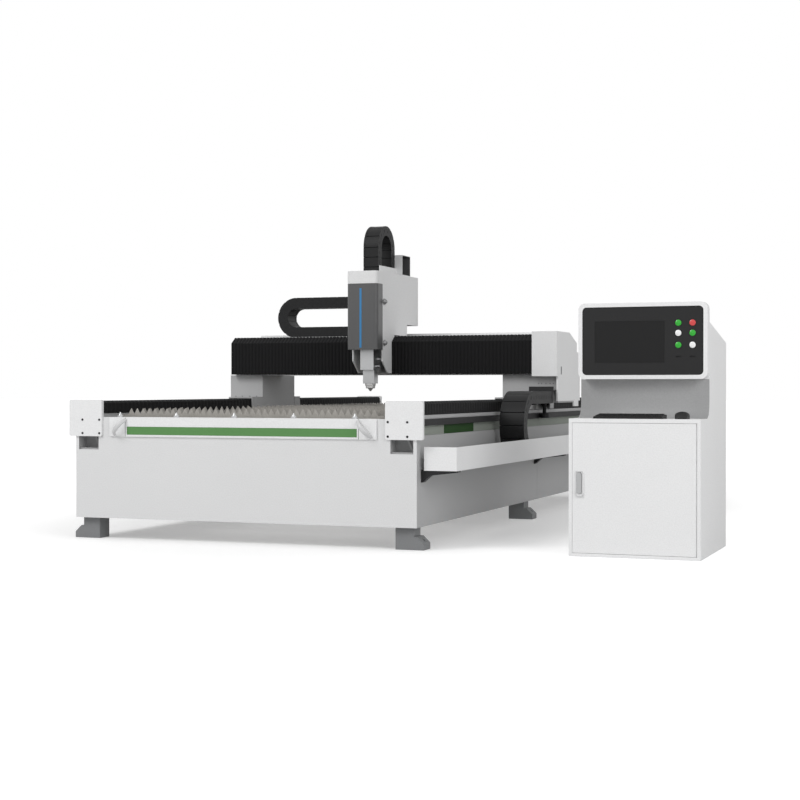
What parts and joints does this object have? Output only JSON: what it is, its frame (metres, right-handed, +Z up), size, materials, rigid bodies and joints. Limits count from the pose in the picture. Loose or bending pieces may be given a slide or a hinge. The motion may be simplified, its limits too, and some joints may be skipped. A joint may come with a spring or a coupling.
{
  "type": "fiber laser cutting machine",
  "caption": "Open flat-bed laser cutter with a toothed slat table, a travelling gantry and cutting head, energy chains and a separate operator console.",
  "frame": {"origin": "on the floor, at the middle of the bed between the four corner anchor holes", "axes": "+X to the operator's right, +Y from the front panel to the back along the bed, +Z up"},
  "size_m": [3.503, 4.261, 1.875],
  "materials": {
    "white_paint": "fine-textured white powder coat",
    "grey_white_paint": "textured light grey powder coat",
    "grey_paint": "semi-matt grey paint",
    "bright_steel": "ground steel",
    "rack_steel": "blackened steel",
    "black_steel": "black paint",
    "slat_steel": "bare cut steel strip",
    "chain_plastic": "moulded dark grey nylon",
    "bellows_cloth": "coated black bellows cloth",
    "dark_cover_paint": "semi-matt dark grey paint",
    "satin_aluminium": "satin anodised",
    "nozzle_metal": "plated turned metal",
    "panel_black": "satin black",
    "screen_glass": "dark screen",
    "button_green": "moulded",
    "button_red": "moulded",
    "button_white": "moulded"
  },
  "bodies": {
    "bed": {"front_panel": "white_paint", "rear_panel": "white_paint", "side_panel_left": "grey_white_paint", "side_panel_right": "grey_white_paint", "rail_beam_left": "grey_white_paint", "rail_beam_right": "grey_white_paint", "cross_tubes": "grey_paint", "feet": "grey_paint", "guide_rails": "bright_steel", "drive_rack": "rack_steel", "rail_end_caps": "white_paint", "cap_screws": "black_steel", "chain_tray": "white_paint", "tray_brackets": "black_steel", "bed_chain_lower": "chain_plastic", "bellows_front": "bellows_cloth", "bellows_rear": "bellows_cloth", "console_shell": "white_paint", "screen_housing": "white_paint", "control_panel": "panel_black", "display_screen": "screen_glass", "keyboard": "panel_black", "mouse": "panel_black"},
    "table": {"slat_carriers": "grey_paint", "support_slats": "slat_steel", "table_front_bar": "white_paint", "pull_handles": "white_paint", "bar_studs": "white_paint"},
    "gantry": {"gantry_beam": "white_paint", "gantry_foot_left": "grey_white_paint", "gantry_foot_right": "grey_white_paint", "bearing_blocks": "bright_steel", "drive_housing": "white_paint", "cross_rails": "bright_steel", "chain_arm": "black_steel", "bed_chain_upper": "chain_plastic", "bellows_left": "bellows_cloth", "bellows_right": "bellows_cloth", "gantry_chain_lower": "chain_plastic"},
    "pinion": {"drive_pinion": "bright_steel"},
    "bed_loop": {"bed_chain_loop": "chain_plastic"},
    "carriage": {"carriage_frame": "bright_steel", "carriage_housing": "white_paint", "carriage_cover": "dark_cover_paint", "cable_box": "white_paint", "gantry_chain_upper": "chain_plastic", "head_chain_lower": "chain_plastic"},
    "gantry_loop": {"gantry_chain_loop": "chain_plastic"},
    "head": {"cutting_head": "satin_aluminium", "nozzle": "nozzle_metal", "head_chain_upper": "chain_plastic"},
    "head_loop": {"head_chain_loop": "chain_plastic"},
    "door": {"console_door": "white_paint"},
    "lever": {"door_lever": "satin_aluminium"},
    "button_1": {"button_1": "button_green"},
    "button_2": {"button_2": "button_red"},
    "button_3": {"button_3": "button_white"},
    "button_4": {"button_4": "button_green"},
    "button_5": {"button_5": "button_green"},
    "button_6": {"button_6": "button_white"}
  },
  "joints": [
    {"name": "gantry_travel", "type": "slide", "parent": "bed", "child": "gantry", "axis": [0, 1, 0], "range_m": [-0.88, 1.3], "deforming": ["bellows_front", "bellows_rear", "bed_chain_lower", "bed_chain_upper"]},
    {"name": "bed_loop_travel", "type": "slide", "parent": "bed", "child": "bed_loop", "axis": [0, 1, 0], "range_m": [-0.44, 0.65]},
    {"name": "pinion_turn", "type": "hinge", "parent": "gantry", "child": "pinion", "pos_m": [1.0403, 0.1855, 0.65], "axis": [0, 0, 1], "range_deg": [-1700, 2500]},
    {"name": "table_pull", "type": "slide", "parent": "bed", "child": "table", "axis": [0, -1, 0], "range_m": [0, 1.5]},
    {"name": "carriage_travel", "type": "slide", "parent": "gantry", "child": "carriage", "axis": [1, 0, 0], "range_m": [-0.75, 0.75], "deforming": ["bellows_left", "bellows_right", "gantry_chain_lower", "gantry_chain_upper"]},
    {"name": "gantry_loop_travel", "type": "slide", "parent": "gantry", "child": "gantry_loop", "axis": [1, 0, 0], "range_m": [-0.375, 0.375]},
    {"name": "head_travel", "type": "slide", "parent": "carriage", "child": "head", "axis": [0, 0, 1], "range_m": [-0.07, 0.04], "deforming": ["head_chain_lower", "head_chain_upper"]},
    {"name": "head_loop_travel", "type": "slide", "parent": "carriage", "child": "head_loop", "axis": [0, 0, 1], "range_m": [-0.035, 0.02]},
    {"name": "door_swing", "type": "hinge", "parent": "bed", "child": "door", "pos_m": [2.3995, -2.054, 0.35], "axis": [0, 0, 1], "range_deg": [0, 90]},
    {"name": "lever_pull", "type": "hinge", "parent": "door", "child": "lever", "pos_m": [1.836, -2.06915, 0.308], "axis": [1, 0, 0], "range_deg": [0, 60]},
    {"name": "button_1_press", "type": "slide", "parent": "bed", "child": "button_1", "axis": [0, 1, 0], "range_m": [0, 0.004], "stiffness_N_per_m": 500},
    {"name": "button_2_press", "type": "slide", "parent": "bed", "child": "button_2", "axis": [0, 1, 0], "range_m": [0, 0.004], "stiffness_N_per_m": 500},
    {"name": "button_3_press", "type": "slide", "parent": "bed", "child": "button_3", "axis": [0, 1, 0], "range_m": [0, 0.004], "stiffness_N_per_m": 500},
    {"name": "button_4_press", "type": "slide", "parent": "bed", "child": "button_4", "axis": [0, 1, 0], "range_m": [0, 0.004], "stiffness_N_per_m": 500},
    {"name": "button_5_press", "type": "slide", "parent": "bed", "child": "button_5", "axis": [0, 1, 0], "range_m": [0, 0.004], "stiffness_N_per_m": 500},
    {"name": "button_6_press", "type": "slide", "parent": "bed", "child": "button_6", "axis": [0, 1, 0], "range_m": [0, 0.004], "stiffness_N_per_m": 500}
  ],
  "couplings": [
    {"joint": "bed_loop_travel", "follows": "gantry_travel", "ratio": 0.5},
    {"joint": "pinion_turn", "follows": "gantry_travel", "rad_per_m": 33.333},
    {"joint": "gantry_loop_travel", "follows": "carriage_travel", "ratio": 0.5},
    {"joint": "head_loop_travel", "follows": "head_travel", "ratio": 0.5}
  ]
}
